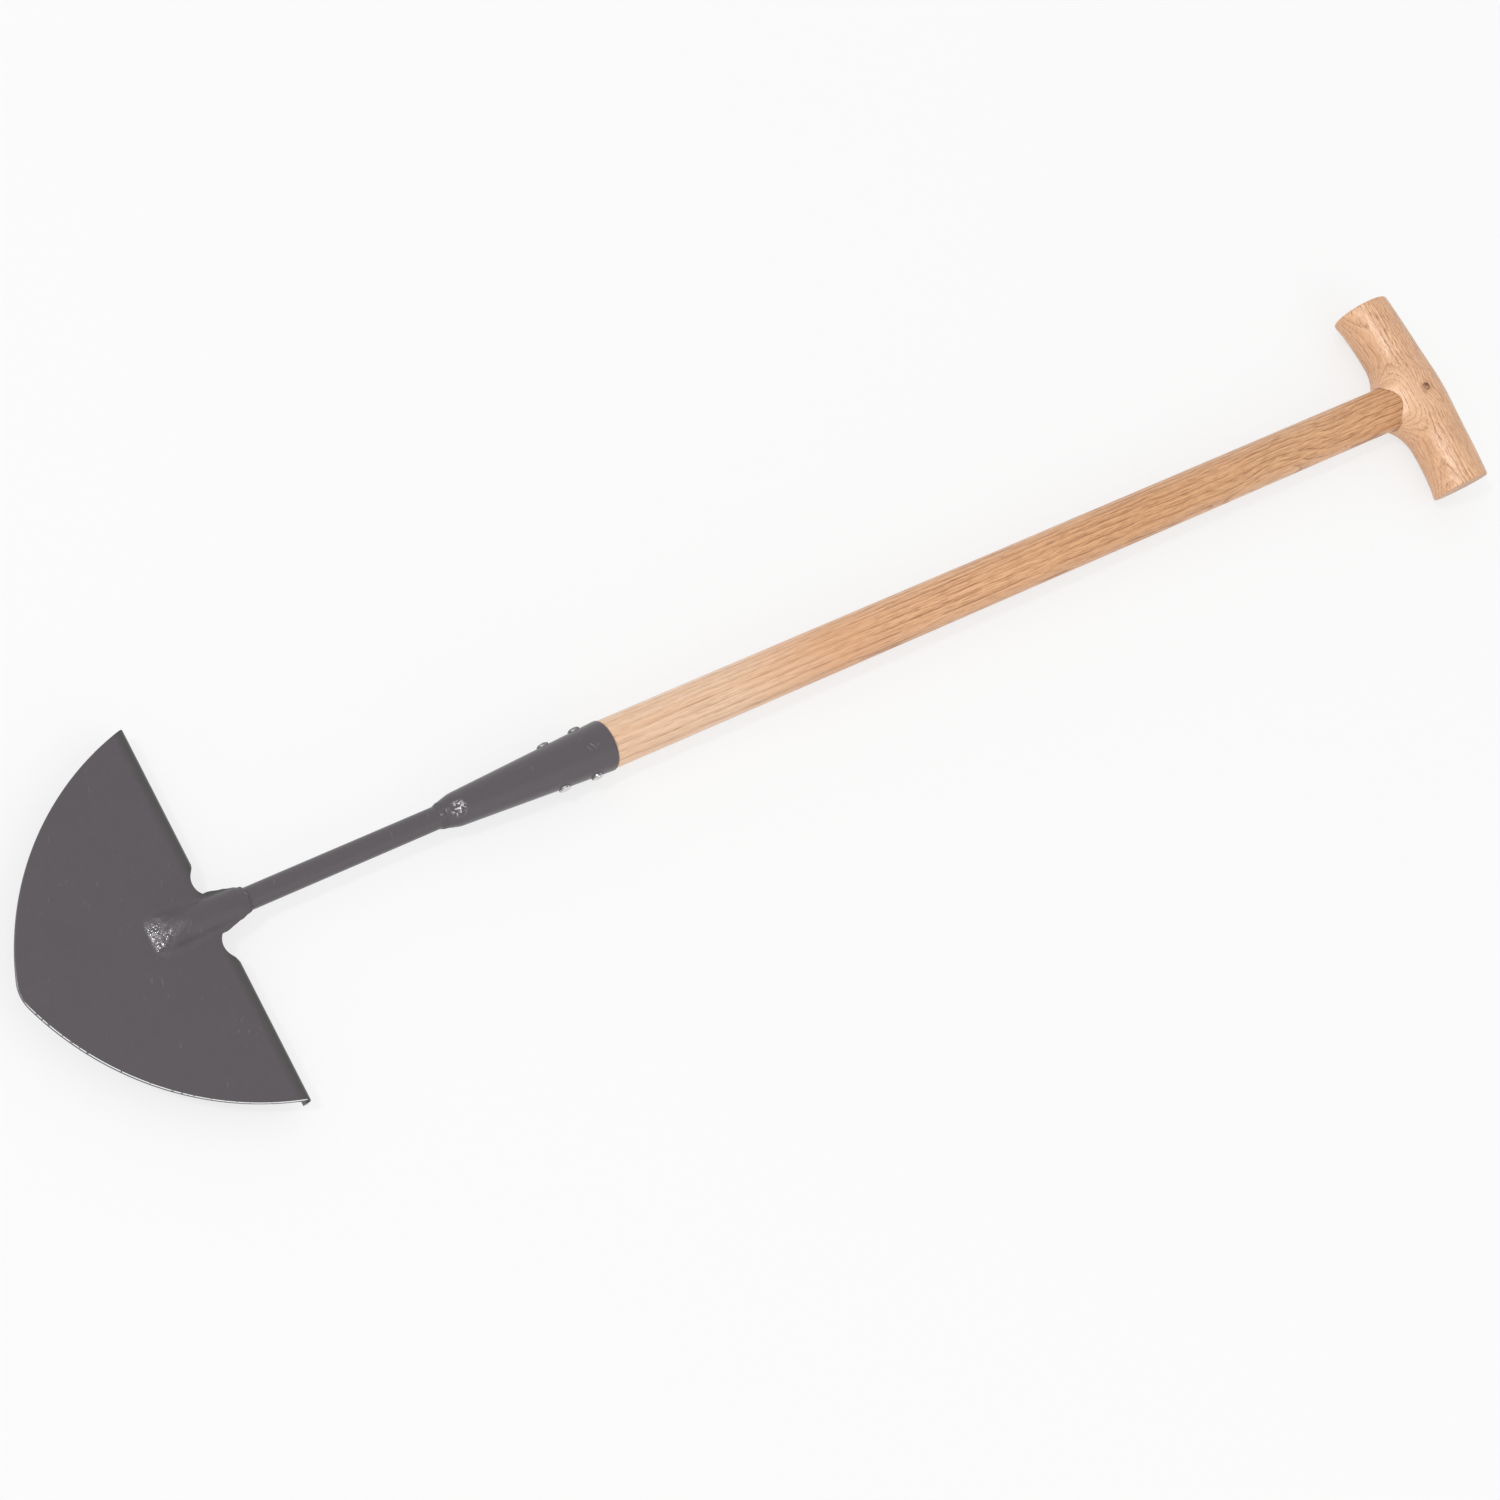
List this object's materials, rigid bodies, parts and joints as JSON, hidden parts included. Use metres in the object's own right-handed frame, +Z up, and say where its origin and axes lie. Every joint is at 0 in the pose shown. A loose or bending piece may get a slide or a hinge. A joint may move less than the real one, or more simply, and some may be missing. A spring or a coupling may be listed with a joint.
{
  "type": "half moon edger",
  "caption": "Half moon lawn edger: pressed steel blade with folded foot treads on a round shank, riveted tapered socket, straight ash handle and wooden T-grip.",
  "frame": {"origin": "under the middle of the whole tool, on the surface that it lies on", "axes": "+X along the tool's axis from the blade to the T-grip, +Y across the blade, +Z up out of the blade's front"},
  "size_m": [0.9914, 0.216, 0.0389],
  "materials": {
    "grey_paint": "satin dark grey powder coat with a fine hammered texture, worn bright in specks along the edges",
    "rivet_steel": "plain bright steel, hammered domes",
    "ash": "sanded ash with straight grain under a thin satin lacquer",
    "peg_wood": "dark end grain under the same lacquer"
  },
  "bodies": {
    "root": {"blade": "grey_paint", "shank": "grey_paint", "neck_weld": "grey_paint", "back_welds": "grey_paint", "socket": "grey_paint", "socket_weld": "grey_paint", "socket_rivets": "rivet_steel", "handle": "ash", "grip": "ash", "grip_peg": "peg_wood"}
  },
  "joints": []
}
